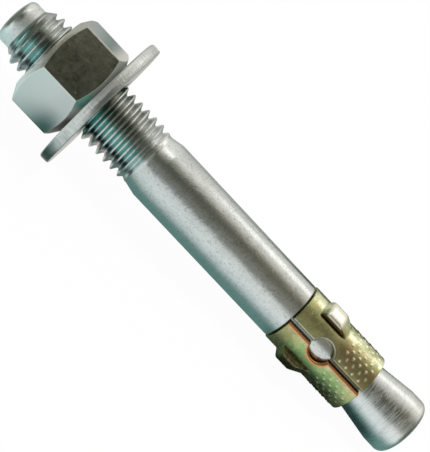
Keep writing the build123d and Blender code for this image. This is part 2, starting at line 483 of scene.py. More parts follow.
def round_axis(tree, place):
    """A place's parts, its distance from the x axis, and its angle about it, from +Z towards -Y."""
    parts = put(tree, "SeparateXYZ", {"Vector": place}).outputs
    crosswise = put(tree, "CombineXYZ", {"Y": parts["Y"], "Z": parts["Z"]}).outputs[0]
    radius = put(tree, "VectorMath", {0: crosswise}, operation="LENGTH").outputs["Value"]
    angle = maths(tree, "ARCTAN2", maths(tree, "MULTIPLY", parts["Y"], -1.0), parts["Z"])
    return parts, radius, angle


def share_of_turn(tree, angle):
    """An angle from -180 to 180 degrees as a share from 0 to 1."""
    return slope(tree, angle, 0.5 / pi, 0.5)


def group(name, inputs, outputs):
    """An empty node group: its tree, the values it is given and its output node."""
    tree = bpy.data.node_groups.new(name, "ShaderNodeTree")
    for socket, kind, default in inputs:
        made = tree.interface.new_socket(socket, in_out="INPUT", socket_type="NodeSocket" + kind)
        if default is not None:
            made.default_value = default
    for socket in outputs:
        tree.interface.new_socket(socket, in_out="OUTPUT", socket_type="NodeSocketFloat")
    return tree, tree.nodes.new("NodeGroupInput").outputs, tree.nodes.new("NodeGroupOutput")


def plating_group():
    """The look of plated steel: grain, duller clouds and small pits, as masks and a height."""
    if "Plating" in bpy.data.node_groups:
        return bpy.data.node_groups["Plating"]
    inputs = [
        ("Vector", "Vector", None),
        ("Grain size", "Float", 0.3 * MM),
        ("Cloud size", "Float", 4.0 * MM),
        ("Pit size", "Float", 2.2 * MM),
        ("Pit share", "Float", 0.06),
    ]
    tree, given, result = group("Plating", inputs, ["Grain", "Cloud", "Pit", "Height"])
    place = given["Vector"]
    grain_scale, cloud_scale, pit_scale = [
        maths(tree, "DIVIDE", 1.0, given[size_name]) for size_name in ("Grain size", "Cloud size", "Pit size")
    ]
    grain = noise(tree, place, grain_scale, 3.0, 0.6)
    cloud = noise(tree, place, cloud_scale, 5.0, 0.65, distortion=0.4)
    cells = put(tree, "TexVoronoi", {"Vector": place, "Scale": pit_scale, "Randomness": 1.0}, feature="F1")
    pit = fade(tree, cells.outputs["Distance"], given["Pit share"], 0.0)
    height = maths(tree, "SUBTRACT", maths(tree, "MULTIPLY", grain, 0.5), pit)
    height = maths(tree, "ADD", height, maths(tree, "MULTIPLY", cloud, 0.8))
    for name, socket in (("Grain", grain), ("Cloud", cloud), ("Pit", pit), ("Height", height)):
        tree.links.new(socket, result.inputs[name])
    return tree


def turning_group():
    """Fine lines round the stud's axis, as left by a lathe, as a mask from 0 to 1."""
    if "Turning lines" in bpy.data.node_groups:
        return bpy.data.node_groups["Turning lines"]
    inputs = [("Vector", "Vector", None), ("Line width", "Float", 0.2 * MM), ("Wander", "Float", 0.02)]
    tree, given, result = group("Turning lines", inputs, ["Lines"])
    parts = put(tree, "SeparateXYZ", {"Vector": given["Vector"]}).outputs
    squeezed = {name: maths(tree, "MULTIPLY", parts[name], given["Wander"]) for name in ("Y", "Z")}
    across = put(tree, "CombineXYZ", {"X": parts["X"], **squeezed}).outputs[0]
    lines = noise(tree, across, maths(tree, "DIVIDE", 1.0, given["Line width"]), 2.5, 0.7)
    tree.links.new(lines, result.inputs["Lines"])
    return tree


def empty_tree(owner):
    """The node tree of a material or a world, without its first nodes."""
    owner.use_nodes = True
    owner.node_tree.nodes.clear()
    return owner.node_tree


def use(tree, node_group, inputs):
    """A node group placed in a material, with its own values."""
    return put(tree, "Group", inputs, node_tree=node_group).outputs


def metal(name, space):
    """A new metal material: its tree, its shader and the coordinates of a space."""
    material = bpy.data.materials.new(name)
    tree = empty_tree(material)
    shader = put(tree, "BsdfPrincipled", {"Metallic": 1.0})
    put(tree, "OutputMaterial", {"Surface": shader.outputs["BSDF"]})
    world_place = put(tree, "TexCoord").outputs["Object"]
    shift = {"Vector": world_place, "Location": space.translation, "Rotation": space.to_euler()}
    return material, tree, shader, put(tree, "Mapping", shift, vector_type="TEXTURE").outputs[0]


def bump(tree, shader, height, distance):
    """Raises a shader's surface by a height mask."""
    node = put(tree, "Bump", {"Height": height, "Distance": distance})
    tree.links.new(node.outputs["Normal"], shader.inputs["Normal"])


def thread_colour(tree, stud, base, station, radius, height):
    """The base colour with the thread's painted shade, reflections and highlights; the height is a share,
    from 0 below the stud to 1 on top.
    """
    nut, washer = bpy.context.scene.anchor_nut, bpy.context.scene.anchor_washer
    past_washer = nut.station + nut.height + washer.thickness
    crest, depth = stud.thread_diameter / 2, stud.thread_depth
    above_nut = fade(tree, station, nut.station + 3 * MM, nut.station)
    threaded = between(tree, station, stud.dog_length, stud.thread_end - 0.6 * MM)
    last_turns = fade(tree, station, stud.thread_end - 2.4 * MM, stud.thread_end - 1.2 * MM, 0.75)
    on_top = ramp(tree, height, [(0.80, 0.0), (0.93, 1.0)])

    # Painted shade and reflections on the flanks, graded from the stud's under side to its top, and thinner
    # above the nut and on the upper side towards the shank
    off_root = fade(tree, radius, crest - 0.98 * depth, crest - 0.86 * depth)
    flank = fade(tree, radius, crest - 0.12 * MM, crest - 0.35 * depth)
    flank = product(tree, flank, maths(tree, "MAXIMUM", off_root, above_nut))
    stops = [
        (0.40, stud.flank_shading_under),
        (0.46, stud.flank_shading_low),
        (0.52, stud.flank_shading_low),
        (0.565, stud.flank_shading_middle),
        (0.61, stud.flank_shading_lower),
        (0.76, stud.flank_shading_lower),
        (0.86, stud.flank_shading_upper),
        (1.0, stud.flank_shading_top),
    ]
    tinge = ramp(tree, height, stops, "LINEAR")
    cleaner = product(tree, above_nut, slope(tree, on_top, 0.3, 0.25))
    tinge = blend(tree, cleaner, tinge, stud.zinc)
    clear = fade(tree, station, past_washer + 6.0 * MM, past_washer + 8.0 * MM, 0.8)
    clear = product(tree, clear, ramp(tree, height, [(0.76, 0.0), (0.88, 1.0)]))
    tinge = blend(tree, maths(tree, "MAXIMUM", clear, last_turns), tinge, stud.zinc)
    base = blend(tree, product(tree, flank, threaded), base, tinge)

    # Painted shade on the crests low on the stud, and painted shadow in the turns beside the washer
    low_crests = ramp(tree, height, [(0.38, 0.0), (0.44, 0.65), (0.50, 0.65), (0.54, 0.0)])
    low_crests = product(tree, low_crests, maths(tree, "SUBTRACT", threaded, last_turns, clamp=True))
    base = blend(tree, low_crests, base, stud.crest_shade, "MULTIPLY")
    beside = product(
        tree,
        fade(tree, station, past_washer + 2.3 * MM, past_washer + 1.4 * MM),
        ramp(tree, height, [(0.86, 1.0), (0.93, 0.0)]),
        maths(tree, "GREATER_THAN", station, past_washer),
        slope(tree, flank, 0.6, 0.4),
    )
    base = blend(tree, beside, base, stud.washer_shadow, "MULTIPLY")

    # A brighter impact end, and painted highlights on top of the turns above the nut and on top where the
    # shank begins
    on_dog = maths(tree, "LESS_THAN", station, stud.dog_length)
    brightened = slope(tree, on_dog, 0.8, maths(tree, "MULTIPLY", on_top, 0.4), clamp=True)
    by_shank = product(
        tree,
        last_turns,
        fade(tree, station, stud.shank_start + 0.8 * MM, stud.shank_start - 0.8 * MM),
        ramp(tree, height, [(0.68, 0.0), (0.88, 1.0)]),
    )
    brightened = maths(tree, "MAXIMUM", product(tree, above_nut, brightened), by_shank)
    return blend(tree, brightened, base, [stud.brightening] * 3, "MULTIPLY")


def stud_material(stud):
    """Satin zinc with fine grain and specks, painted shade and highlights on the thread, painted shadow in
    the clip's slit, and turning lines on the cone.
    """
    material, tree, shader, place = metal("Stud zinc", stud_space())
    plating = use(tree, plating_group(), {"Vector": place, "Grain size": 0.35 * MM, "Cloud size": 3.5 * MM})
    turning = use(tree, turning_group(), {"Vector": place, "Line width": 0.22 * MM, "Wander": 0.09})
    lines = turning["Lines"]
    parts, radius, angle = round_axis(tree, place)
    station = parts["X"]
    height = slope(tree, parts["Z"], 1 / stud.thread_diameter, 0.5)
    cone = fade(tree, station, stud.cone_start - MM, stud.cone_start + MM)
    shade = maths(tree, "SUBTRACT", maths(tree, "MULTIPLY", plating["Cloud"], 1.6), 0.55, clamp=True)
    shade = maths(tree, "ADD", shade, plating["Pit"], clamp=True)
    base = blend(tree, shade, stud.zinc, stud.zinc_shade)
    base = thread_colour(tree, stud, base, station, radius, height)
    base = blend(tree, cone, base, stud.cone_zinc)
    base = blend(tree, cone, base, ramp(tree, lines, [(0.36, 0.8), (0.5, 1.0)]), "MULTIPLY")
    speckle = noise(tree, place, 2300.0, 2.0, 0.6)
    speckle = ramp(tree, speckle, [(0.28, 0.72), (0.44, 0.96), (0.6, 1.0)])
    base = blend(tree, slope(tree, cone, -0.8, 1.0), base, speckle, "MULTIPLY")

    # Painted shadow on the neck in the clip's slit, softer before the round hole and darker past it
    clip = bpy.context.scene.anchor_clip
    hole = clip.start + clip.keyhole_from_start
    from_hole = maths(tree, "ABSOLUTE", maths(tree, "SUBTRACT", station, hole))
    off_hole = maths(tree, "GREATER_THAN", from_hole, clip.keyhole / 2 - 0.1 * MM)
    in_slit = product(tree, off_hole, between(tree, station, stud.shoulder + 0.1 * MM, stud.cone_start))
    base = blend(tree, in_slit, base, stud.slit_shadow)
    before_hole = product(tree, in_slit, maths(tree, "LESS_THAN", station, hole))
    base = blend(tree, before_hole, base, stud.slit_soft_shadow)
    tree.links.new(base, shader.inputs["Base Color"])

    # The cone is rougher along its lines where the tool dragged, and the impact end is dull by the thread
    rough = slope(tree, plating["Grain"], 0.10, 0.17)
    dragged = [(0.5, 0.3), (0.55, 1.0), (0.62, 1.0), (0.66, 0.15), (1.0, 0.15)]
    scored = product(
        tree,
        cone,
        ramp(tree, lines, [(0.44, 0.0), (0.60, 1.0)]),
        ramp(tree, share_of_turn(tree, angle), dragged),
    )
    rough = slope(tree, scored, 0.3, rough)
    to_dull = slope(tree, plating["Cloud"], 1.2 * MM, station)
    dull = fade(tree, to_dull, 2.1 * MM, 2.7 * MM)
    dull = product(tree, dull, maths(tree, "LESS_THAN", station, stud.dog_length + 0.4 * MM))
    tree.links.new(slope(tree, dull, 0.33, rough), shader.inputs["Roughness"])
    relief = slope(tree, plating["Cloud"], 4.0, plating["Height"])
    relief = product(tree, relief, slope(tree, cone, -0.7, 1.0))
    relief = slope(tree, product(tree, lines, cone), 2.0, relief)
    bump(tree, shader, relief, 0.016 * MM)
    return material


def nut_material(nut):
    """Bright zinc, dappled on one flat that kept its forged skin, and dull on the chamfers and end faces,
    with painted highlights, a painted reflection and painted shade round the ends.
    """
    material, tree, shader, place = metal("Nut zinc", stud_space())
    sizes = {"Grain size": 0.5 * MM, "Cloud size": 2.6 * MM, "Pit size": 1.8 * MM, "Pit share": 0.1}
    plating = use(tree, plating_group(), {"Vector": place, **sizes})
    parts, radius, angle = round_axis(tree, place)
    station, around = parts["X"], share_of_turn(tree, angle)
    shade = ramp(tree, plating["Cloud"], [(0.34, 0.25), (0.64, 0.0)])
    dapple = noise(tree, place, 700.0, 5.0, 0.65)
    dapple = ramp(tree, dapple, [(0.32, nut.hollow_tint), (0.48, nut.forged_tint), (0.66, nut.raised_tint)])
    forged = between(tree, angle, nut.turned - pi / 3, nut.turned)
    dappled = blend(tree, 1.0, blend(tree, shade, nut.zinc, nut.zinc_shade), dapple, "MULTIPLY")
    base = blend(tree, forged, nut.zinc, dappled)

    # Each end: its round face and its chamfer, found by their distance from the end's plane
    drop = product(tree, maths(tree, "SUBTRACT", radius, nut.face_diameter / 2), tan(nut.chamfer))
    end_depth = maths(tree, "ADD", drop, 0.06 * MM)
    to_outer_end = maths(tree, "SUBTRACT", station, nut.station)
    to_washer_end = maths(tree, "SUBTRACT", nut.station + nut.height, station)
    outer_end = maths(tree, "LESS_THAN", to_outer_end, end_depth)
    washer_end = maths(tree, "LESS_THAN", to_washer_end, end_depth)
    # The outer end's warmer, duller plating, with a painted highlight on its lower part
    base = blend(tree, outer_end, base, ramp(tree, around, [(0.62, nut.end_zinc), (0.67, nut.end_highlight)]))
    # Round the end by the washer: painted shade, a blue-green painted reflection, painted highlights and
    # painted shade on the under side
    stops = [
        (0.6, nut.washer_side_top_shade),
        (0.63, nut.washer_side_reflection),
        (0.662, nut.washer_side_reflection),
        (0.69, nut.washer_side_highlight),
        (0.715, nut.washer_side_warm_highlight),
        (0.74, nut.washer_side_under_shade),
    ]
    base = blend(tree, washer_end, base, ramp(tree, around, stops))
    tree.links.new(base, shader.inputs["Base Color"])
    matt = slope(tree, outer_end, 0.15, maths(tree, "MULTIPLY", washer_end, 0.6))
    tree.links.new(maths(tree, "SUBTRACT", 1.0, matt), shader.inputs["Metallic"])
    rough = slope(tree, plating["Cloud"], 0.12, 0.10)
    tree.links.new(slope(tree, washer_end, 0.3, rough), shader.inputs["Roughness"])
    relief = product(tree, plating["Height"], slope(tree, forged, 0.8, 0.2))
    bump(tree, shader, relief, 0.04 * MM)
    return material


def washer_material(washer, space):
    """Zinc over punched sheet, with streaks along the rim's punch marks, painted shade along the zone where
    it tore, and a painted highlight on its rolled edge.
    """
    material, tree, shader, place = metal("Washer zinc", space)
    plating = use(tree, plating_group(), {"Vector": place, "Grain size": 0.3 * MM, "Cloud size": 3.0 * MM})
    parts, radius, angle = round_axis(tree, place)
    around, rim = share_of_turn(tree, angle), washer.diameter / 2
    stretched = put(tree, "VectorMath", {0: place, 1: (0.12, 1.0, 1.0)}, operation="MULTIPLY")
    streaks = noise(tree, stretched.outputs[0], 2600.0, 3.0, 0.6)
    shade = slope(tree, streaks, 3.4, -1.5, clamp=True)
    base = blend(tree, shade, washer.zinc, washer.zinc_shade)

    # The torn zone of the rim, with painted shade on the stretch between the washer's top and its -Y side
    on_rim = fade(tree, radius, rim - 0.35 * MM, rim - 0.2 * MM)
    facing = [(0.565, 0.0), (0.585, 0.6), (0.60, 1.0), (0.632, 1.0), (0.655, 0.35), (0.68, 0.15), (0.70, 0.0)]
    wavering = slope(tree, streaks, 0.5 * MM, parts["X"])
    tear_shade = ramp(
        tree,
        maths(tree, "DIVIDE", wavering, 3 * MM),
        [(0.42, 0.0), (0.49, 1.0), (0.62, 0.9), (0.75, 0.6)],
        "LINEAR",
    )
    tear_shade = product(tree, tear_shade, on_rim, ramp(tree, around, facing, "LINEAR"), 0.85)
    base = blend(tree, tear_shade, base, washer.tear_shade)

    # Painted highlight on the edge that the punch rolled over, lower down on the same side
    rolled = product(
        tree,
        fade(tree, radius, rim - 0.9 * MM, rim - 0.5 * MM),
        fade(tree, parts["X"], 0.5 * MM, 0.3 * MM),
        ramp(tree, around, [(0.61, 0.0), (0.65, 1.0), (0.72, 1.0), (0.755, 0.0)]),
    )
    base = blend(tree, rolled, base, washer.rolled_highlight)
    tree.links.new(base, shader.inputs["Base Color"])
    matt = slope(tree, streaks, 0.8, -0.15, clamp=True)
    matt = product(tree, on_rim, fade(tree, parts["Z"], 0.0, 9 * MM), matt)
    matt = maths(tree, "MAXIMUM", matt, maths(tree, "MULTIPLY", rolled, 0.7))
    tree.links.new(maths(tree, "SUBTRACT", 1.0, matt), shader.inputs["Metallic"])
    rough = slope(tree, plating["Cloud"], 0.16, 0.16)
    tree.links.new(slope(tree, on_rim, 0.08, rough), shader.inputs["Roughness"])
    bump(tree, shader, slope(tree, streaks, 0.8, plating["Height"]), 0.02 * MM)
    return material


def clip_tint(tree, clip, cloud, station, angle, place):
    """The clip's passivation, whose tinge changes round it and along it, with a painted highlight on top and
    painted shade on the under side, and the mask of its far half.
    """
    drift = slope(tree, cloud, 0.7, -0.35)
    from_start = slope(tree, drift, 4 * MM, station)
    from_slit = maths(tree, "WRAP", maths(tree, "SUBTRACT", angle, clip.turned), pi, -pi)
    off_slit = fade(tree, maths(tree, "ABSOLUTE", from_slit), 0.05, 0.5)
    from_slit = slope(tree, drift, off_slit, from_slit)
    below_slit = maths(tree, "GREATER_THAN", from_slit, 0.0)
    side = fade(tree, from_slit, -pi, pi)
    # Round the clip from the side opposite the slit: gold, a painted highlight on top, gold, a paler painted
    # highlight beside the slit's lower side, green, painted shade on the under side, and gold again
    stops = [
        (0.0, clip.gold),
        (0.22, clip.gold),
        (0.27, clip.pale),
        (0.325, clip.pale),
        (0.37, clip.gold),
        (0.499, clip.gold),
        (0.515, clip.slit_highlight),
        (0.545, clip.green),
        (0.567, clip.green),
        (0.635, clip.dark),
        (0.76, clip.dark),
        (0.90, clip.gold),
    ]
    tint = ramp(tree, side, stops, "LINEAR")
    off_top = ramp(tree, side, [(0.33, 0.0), (0.37, 1.0), (0.499, 1.0), (0.501, 0.0)], "LINEAR")
    dulled = product(tree, fade(tree, from_start, clip.start + 7 * MM, clip.start + 3 * MM, 0.3), off_top)
    tint = blend(tree, dulled, tint, clip.moss)
    near_start = fade(tree, from_start, clip.start + 4 * MM, clip.start + 2 * MM, 0.75)
    far_half = fade(tree, from_start, clip.start + 8 * MM, clip.start + 10 * MM)
    above_slit = ramp(tree, side, [(0.35, 0.0), (0.40, 1.0), (0.46, 1.0), (0.48, 0.3), (0.5, 0.0)])
    browned = product(tree, far_half, above_slit)
    browned = maths(tree, "MAXIMUM", product(tree, near_start, below_slit), browned)
    tint = blend(tree, browned, tint, clip.brown)
    mottle = noise(tree, place, 620.0, 3.0, 0.65)
    tint = blend(tree, ramp(tree, mottle, [(0.44, 0.0), (0.60, 0.6)]), tint, clip.moss)
    end = clip.start + clip.length
    gilt = ramp(tree, mottle, [(0.38, 0.45), (0.47, 0.0)])
    gilt = maths(tree, "MAXIMUM", gilt, fade(tree, from_start, end - 3.5 * MM, end - 1.5 * MM, 0.6))
    return blend(tree, product(tree, gilt, below_slit), tint, clip.gold), far_half


def clip_material(clip):
    """Yellow passivated zinc, with painted highlights on the dimples and the upper lugs, painted shade on the
    lower lugs, beside the lugs, inside the sheet and along the slit's upper edge, and coppery cuts.
    """
    material, tree, shader, place = metal("Clip yellow zinc", stud_space())
    plating = use(tree, plating_group(), {"Vector": place, "Grain size": 0.3 * MM, "Cloud size": 3.0 * MM})
    parts, radius, angle = round_axis(tree, place)
    tint, far_half = clip_tint(tree, clip, plating["Cloud"], parts["X"], angle, place)
    layers = ("dimple", "groove_shade", "lug_shading", "cut")
    values = [put(tree, "Attribute", attribute_name=layer).outputs["Fac"] for layer in layers]
    dimple, groove_shade, lug_shading, cut = values
    # The dimple layer paints highlights on the dimples' tops
    tint = blend(tree, maths(tree, "MULTIPLY", dimple, 1.5, clamp=True), tint, clip.dimple_highlight)
    # Painted shade beside the lugs
    tint = blend(tree, groove_shade, tint, clip.groove_shade)

    # The lug and cut layers are above 0 on one side of the slit and below 0 on the other: a lug has a painted
    # highlight or painted shade, a cut is copper or has painted shade
    # Painted shade along the upper edges of the slit and the hole, darker on the half with dimples
    slit_edge_shade = blend(tree, far_half, clip.slit_edge_shade, clip.far_slit_shade)
    for layer, positive, negative in ((lug_shading, clip.highlit, clip.groove_shade), (cut, clip.copper, slit_edge_shade)):
        tint = blend(tree, maths(tree, "MAXIMUM", layer, 0.0), tint, positive)
        tint = blend(tree, maths(tree, "MULTIPLY", maths(tree, "MINIMUM", layer, 0.0), -0.8), tint, negative)
    # Painted shadow on the sheet's inner edge, where it shows in the slit and the hole
    inside = fade(tree, radius, clip.inner_radius + 0.45 * MM, clip.inner_radius + 0.15 * MM)
    tint = blend(tree, inside, tint, clip.groove_shade)
    shade = slope(tree, plating["Grain"], -0.5, 1.25)
    grain = put(tree, "CombineColor", {0: shade, 1: shade, 2: shade}).outputs[0]
    tree.links.new(blend(tree, 1.0, tint, grain, "MULTIPLY"), shader.inputs["Base Color"])
    shader.inputs["Metallic"].default_value = 0.88
    shader.inputs["Specular Tint"].default_value = (*clip.edge_shine, 1)
    rough = slope(tree, plating["Cloud"], 0.14, 0.14)
    tree.links.new(rough, shader.inputs["Roughness"])
    bump(tree, shader, plating["Height"], 0.018 * MM)
    return material


# Operators


class ANCHOR_OT_stud(bpy.types.Operator):
    """Build the stud: impact end, rolled thread, shank, neck and cone"""

    bl_idname = "anchor.stud"
    bl_label = "Stud"

    def execute(self, context):
        stud = context.scene.anchor_stud
        angles = np.linspace(0, 2 * pi, stud.facets + 1)[:, None]
        dog, thread = stud.dog_diameter / 2, stud.thread_diameter / 2
        neck, shank = stud.neck_diameter / 2, stud.shank_diameter / 2
        band, blank = stud.band_diameter / 2, stud.blank_diameter / 2

        # The impact end, from its domed face to just before the thread
        dome = (dog**2 + stud.dog_crown**2) / (2 * stud.dog_crown)
        dome_radii = dog * np.array((0, 0.2, 0.4, 0.6))
        crown = zip(dome - np.sqrt(dome**2 - dome_radii**2), dome_radii)
        tip = [*crown, (stud.dog_crown, dog), (stud.dog_length, dog)]
        tip = rounded(tip, [0, 0, 0, stud.dog_edge], 6)
        tip = np.concatenate([tip[:-1], [(stud.dog_length - 0.2 * MM, dog)]])

        # The thread grows out of the impact end, and fades into the blank
        station = thread_stations(stud, stud.dog_length, stud.thread_end, angles[:, 0])
        entry = dog + (station - stud.dog_length) / stud.thread_entry * (thread - dog)
        radius = np.minimum(thread_radius(stud, station, angles), entry)
        full = np.clip((stud.thread_end - station) / stud.run_out, 0, 1)
        full = full * full * (3 - 2 * full)
        radius = blank + (radius - blank) * full

        # The blank, shank, neck, cone and band
        tail = [
            (stud.thread_end, blank),
            (stud.shank_start, shank),
            (stud.shoulder, shank),
            (stud.shoulder, neck),
            (stud.cone_start, neck),
            (stud.band_start, band),
            (stud.length, band),
            (stud.length, 0),
        ]
        tail = rounded(tail, [0.5 * MM, 0.3 * MM, 0.2 * MM, 0.3 * MM, 2.0 * MM, stud.end_edge], 6)[1:]
        lengths = [about(*tip.T, angles), about(station, radius, angles), about(*tail.T, angles)]
        rings = np.concatenate(lengths, axis=1)
        piece = skin("stud", rings, stud_space())
        finish_piece(piece, stud_material(stud), "stud", "anchor_stud")
        return {"FINISHED"}


class ANCHOR_OT_nut(bpy.types.Operator):
    """Build the hexagon nut with chamfered ends and its inner thread"""

    bl_idname = "anchor.nut"
    bl_label = "Nut"

    def execute(self, context):
        nut, stud = context.scene.anchor_nut, context.scene.anchor_stud

        # Angles from one corner, close together round each corner
        half_face = spread(0.0, (1.2, 4), (2.0, 1), (5.0, 2), (30.0, 4))
        one_side = np.concatenate([-half_face[:0:-1], half_face])[:-1]
        from_corner = np.concatenate([one_side + 60 * number for number in range(6)] + [[330.0]])
        angles = np.radians(from_corner) + nut.turned

        # Distance of the sides from the axis: flats, with an arc over each corner
        off_corner = np.abs((from_corner + 30) % 60 - 30)
        flat = nut.across_flats / 2
        reach = flat / np.cos(np.radians(30 - off_corner))
        middle = (flat - nut.corner) / cos(radians(30))
        inside = nut.corner**2 - (middle * np.sin(np.radians(off_corner))) ** 2
        arc = middle * np.cos(np.radians(off_corner)) + np.sqrt(np.maximum(inside, 0))
        meeting = np.degrees(np.arctan2(nut.corner / 2, middle + nut.corner * cos(radians(30))))
        reach = np.where(off_corner < meeting, arc, reach)

        # Outside, with both chamfers, then back through the thread and its countersinks
        face, low, high = nut.face_diameter / 2, nut.station, nut.station + nut.height
        minor = stud.thread_diameter / 2 - stud.thread_depth + nut.clearance
        mouth = stud.thread_diameter / 2 + nut.clearance + nut.countersink
        outer = []
        for side in reach:
            drop = (side - face) * tan(nut.chamfer)
            corners = [(low, mouth), (low, face), (low + drop, side)]
            corners += [(high - drop, side), (high, face), (high, mouth)]
            outer.append(rounded(corners, [nut.edge] * 4))
        outer = np.array(outer)
        station = thread_stations(stud, low, high, angles)[:, ::-1]
        turned = angles[:, None]
        radius = thread_radius(stud, station, turned) + nut.clearance
        sink = mouth - np.minimum(station - low, high - station)
        radius = np.maximum(np.maximum(radius, sink), minor)
        lengths = [about(outer[:, :, 0], outer[:, :, 1], turned), about(station, radius, turned)]
        rings = np.concatenate(lengths, axis=1)
        piece = skin("nut", rings, stud_space(), closed=True)
        finish_piece(piece, nut_material(nut), "nut", "hex_nut")
        return {"FINISHED"}


class ANCHOR_OT_washer(bpy.types.Operator):
    """Build the punched flat washer, leaning against the nut"""

    bl_idname = "anchor.washer"
    bl_label = "Washer"

    def execute(self, context):
        washer, nut = context.scene.anchor_washer, context.scene.anchor_nut
        rim, hole, thick = washer.diameter / 2, washer.bore / 2, washer.thickness
        torn_zone = washer.torn_from + np.array((0, 0.18)) * MM
        section = [(0, hole), (0, rim), (torn_zone[0], rim), (torn_zone[1], rim), (thick, rim), (thick, hole)]
        section = [*section, (0, hole), (0, rim)]
        edges = [washer.roll_over, 0, 0, washer.burr, washer.burr / 2, washer.burr / 2]
        station, radius = rounded(section, edges, 5)[1:-1].T

        # Punch marks across the rim, deeper on its upper side, and the step down to its torn zone
        count = 720
        angles = np.linspace(0, 2 * pi, count + 1)[:, None]
        draws = np.random.default_rng(4)
        marks = draws.random((count, 1)) * (0.4 + 0.6 * draws.random((count, 1)))
        marks = np.concatenate([marks, marks[:1]])
        upper_side = np.clip(0.5 + np.cos(angles - radians(-20)) * 1.4, 0, 1)
        marks = marks * (0.35 + 0.65 * upper_side)
        on_rim = np.clip((radius - (rim - 0.02 * MM)) / (0.02 * MM), 0, 1)
        depth = np.interp(station, (0.5 * MM, 0.7 * MM), (0.35, 1.0))
        torn = np.interp(station, torn_zone, (0, 1)) * on_rim
        radius = radius - marks * (on_rim * depth) * washer.drag
        radius -= upper_side * torn * washer.torn_step
        rings = about(station, radius, angles)
        touching = nut.station + nut.height + nut.face_diameter / 2 * tan(washer.lean)
        space = stud_space(touching)
        space = space @ Matrix.Rotation(-washer.lean, 4, "Y") @ Matrix.Translation((0, 0, washer.lift))
        piece = skin("washer", rings, space, closed=True)
        finish_piece(piece, washer_material(washer, space), "washer", "flat_washer")
        return {"FINISHED"}


def clip_rows(clip):
    """Distances of rows of points from the clip's start, close together where its shape changes."""
    hole, place = clip.keyhole / 2, clip.keyhole_from_start
    opening = np.arcsin(clip.slit_gap / 2 / hole)
    rows = np.concatenate(
        [
            spread(0, (0.35 * MM, 6), (2.4 * MM, 6), (4.5 * MM, 22), (place - 1.16 * hole, 3)),
            place + hole * spread(-1.16, (-1.0, 6)),
            place - hole * np.cos(np.linspace(opening, pi - opening, 27)),
            place + hole * spread(1.0, (1.16, 6)),
            spread(10.15 * MM, (16.4 * MM, 48), (17.1 * MM, 3), (clip.length, 7)),
        ]
    )
    rows = np.unique(np.round(rows, 7))
    rows = rows[np.concatenate([[True], np.diff(rows) > 0.015 * MM])]
    rows[-1] = clip.length
    return rows


def clip_columns(clip, outside, lug_half):
    """Places of columns of points from one side of the slit round to the other, along the clip's outside."""
    gap, all_round = clip.slit_gap / 2, 2 * pi * outside
    wall = np.array((-0.9, -0.62, -0.5, -0.38, -0.26, -0.16, -0.08, -0.03, 0.0, 0.05, 0.1, 0.2, 0.35)) * MM
    near_wall = [
        all_round * (number + 0.5) / clip.lug_count + way * (lug_half - wall)
        for number in range(clip.lug_count)
        for way in (-1, 1)
    ]
    near_wall = np.concatenate(near_wall)
    by_slit = gap + spread(0, (0.5 * MM, 9), (0.9 * MM, 3))
    evenly = np.linspace(gap + 1.05 * MM, all_round - gap - 1.05 * MM, 236)
    evenly = evenly[np.min(np.abs(evenly[:, None] - near_wall[None, :]), axis=1) > 0.05 * MM]
    return np.sort(np.concatenate([by_slit, evenly, near_wall, all_round - by_slit]))


def lugs(clip, along, outer, outside, lug_half):
    """Heights of the lugs over the sleeve, and a mask of painted shade beside them."""
    fall_start = clip.lug_start + clip.lug_rise + clip.lug_top
    profile = rounded(
        [
            (0, 0),
            (clip.lug_start, 0),
            (clip.lug_start + clip.lug_rise, clip.lug_height),
            (fall_start, clip.lug_height),
            (fall_start + clip.lug_fall, 0),
            (clip.length, 0),
        ],
        [0.2 * MM, 0.8 * MM, 1.4 * MM, 0.6 * MM],
        8,
    )
    lift = np.interp(along, profile[:, 0], profile[:, 1])
    risen = np.clip(lift / (0.5 * MM), 0, 1)

    # Each lug's long edges are creased, and it stands in a notch along its sides
    crease, crease_width = 0.12 * MM, 0.25 * MM
    notch, notch_width = 0.16 * MM, 0.22 * MM
    height, groove_shade = np.zeros_like(outer), np.zeros_like(outer)
    for number in range(clip.lug_count):
        middle = 2 * pi * (number + 0.5) / clip.lug_count
        to_side = lug_half - np.abs(outer - middle) * outside
        lug = np.minimum(lift, clip.lug_height - edge_drop(to_side, clip.lug_shoulder))
        lug -= crease * np.clip(1 - to_side / crease_width, 0, 1) * np.clip(lift / (0.2 * MM), 0, 1)
        sunk = height - notch * np.clip(1 + to_side / notch_width, 0, 1) * risen
        height = np.where(to_side > -0.01 * MM, np.maximum(lug, 0), sunk)
        # Painted shade beside each lug, half as strong for the first
        beside = np.clip(1.3 - np.abs(to_side + 0.05 * MM) / (0.3 * MM), 0, 1)
        groove_shade = np.maximum(groove_shade, beside * risen * (1.0 if number else 0.5))
    return height, groove_shade


def edge_drop(distance, radius):
    """How far a surface falls at a distance from a rounded edge."""
    near = radius - np.clip(distance, 0, radius)
    return radius - np.sqrt(radius**2 - near**2)


def dimples(clip, along, place, half_round):
    """Heights of the staggered rows of dimples on the clip's far half."""
    spacing = 2 * half_round / clip.dimple_rows
    tall = np.zeros(np.broadcast(along, place).shape)
    row = np.round(place / spacing - 0.5)
    for line in (row - 1, row, row + 1):
        first = clip.dimple_start + np.where(line % 2 == 0, 0.0, clip.dimple_pitch / 2)
        number = np.clip(np.round((along - first) / clip.dimple_pitch), 0, clip.dimples_in_row - 1)
        apart = np.hypot(along - first - number * clip.dimple_pitch, place - (line + 0.5) * spacing)
        near = np.clip(apart / (clip.dimple_diameter / 2), 0, 1)
        inside = (line >= 1) & (line <= clip.dimple_rows - 2)
        tall = np.maximum(tall, np.where(inside, clip.dimple_height * (0.5 + 0.5 * np.cos(pi * near)), 0))
    return tall


